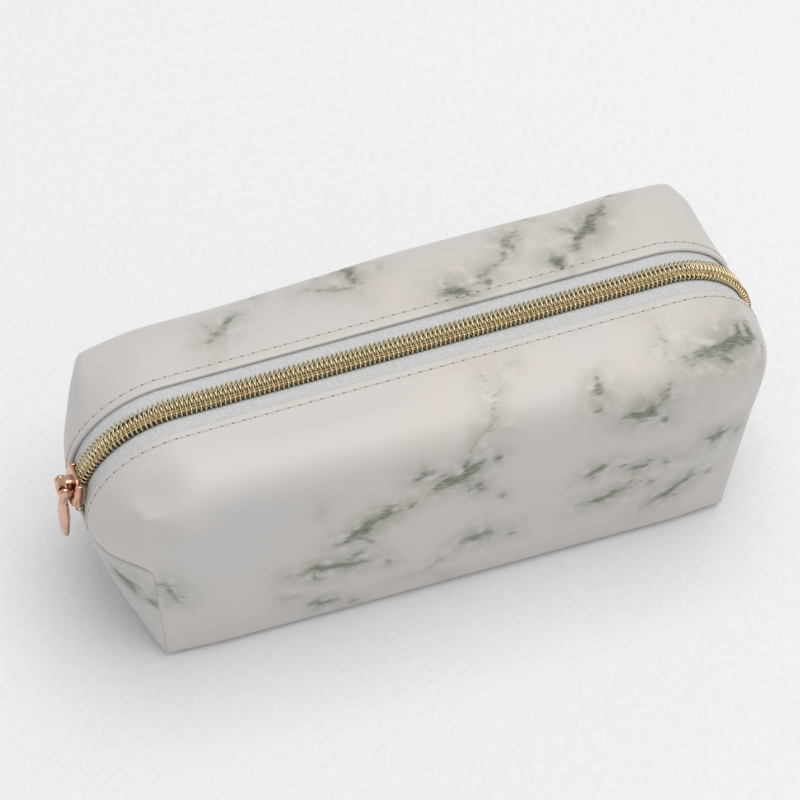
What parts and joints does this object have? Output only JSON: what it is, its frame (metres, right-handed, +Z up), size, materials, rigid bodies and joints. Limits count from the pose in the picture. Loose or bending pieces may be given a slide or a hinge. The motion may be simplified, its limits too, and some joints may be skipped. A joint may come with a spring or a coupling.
{
  "type": "zip pouch",
  "caption": "Boxy zip pouch of marble print PU leather with a gold coil zip, a rose gold slider and pull, and a lining.",
  "frame": {"origin": "centre of the flat bottom, on the surface that the pouch stands on", "axes": "+X along the zip, away from the slider's end; +Y from the front wall to the back wall; +Z up"},
  "size_m": [0.2188, 0.0765, 0.0818],
  "materials": {
    "pu_leather": "semi-gloss, fine grain, grey-green marble print",
    "lining": "thin woven polyester",
    "binding": "woven binding tape",
    "tape": "ribbed zip tape",
    "coil": "gold metallised nylon",
    "slider": "polished rose gold plate"
  },
  "bodies": {
    "root": {"back_wall": "pu_leather", "bottom_panel": "pu_leather", "coil_left_back": "coil", "coil_left_front": "coil", "coil_right_back": "coil", "coil_right_front": "coil", "corner_binding_left_back": "binding", "corner_binding_left_front": "binding", "corner_binding_right_back": "binding", "corner_binding_right_front": "binding", "end_binding_left": "binding", "end_binding_right": "binding", "front_wall": "pu_leather", "left_lower_end": "pu_leather", "left_upper_back": "pu_leather", "left_upper_front": "pu_leather", "lining_back": "lining", "lining_bottom": "lining", "lining_front": "lining", "lining_left_lower": "lining", "lining_left_upper_back": "lining", "lining_left_upper_front": "lining", "lining_right_lower": "lining", "lining_right_upper_back": "lining", "lining_right_upper_front": "lining", "right_lower_end": "pu_leather", "right_upper_back": "pu_leather", "right_upper_front": "pu_leather", "tape_left_back": "tape", "tape_left_front": "tape", "tape_right_back": "tape", "tape_right_front": "tape"},
    "flap_front_body": {"flap_front": "pu_leather", "lining_flap_front": "lining", "tape_front": "tape", "coil_front": "coil"},
    "flap_back_body": {"flap_back": "pu_leather", "lining_flap_back": "lining", "tape_back": "tape", "coil_back": "coil"},
    "slider_assembly": {"slider_body": "slider", "slider_crown": "slider", "slider_lock_spring": "slider"},
    "pull_assembly": {"pull": "slider"}
  },
  "joints": [
    {"name": "slider_travel", "type": "hinge", "parent": "root", "child": "slider_assembly", "pos_m": [-0.0755, 0, 0.0505], "axis": [0, 1, 0], "range_deg": [-3, 78]},
    {"name": "pull_swing", "type": "hinge", "parent": "slider_assembly", "child": "pull_assembly", "pos_m": [-0.10949, 0, 0.05772], "axis": [0, 1, 0], "range_deg": [0, 145]},
    {"name": "flap_front_fold", "type": "hinge", "parent": "root", "child": "flap_front_body", "pos_m": [0, -0.034, 0.064], "axis": [0.9997, -0.0237, 0], "range_deg": [0, 95]},
    {"name": "flap_back_fold", "type": "hinge", "parent": "root", "child": "flap_back_body", "pos_m": [0, 0.0385, 0.064], "axis": [-0.9997, -0.0237, 0], "range_deg": [0, 95]}
  ]
}
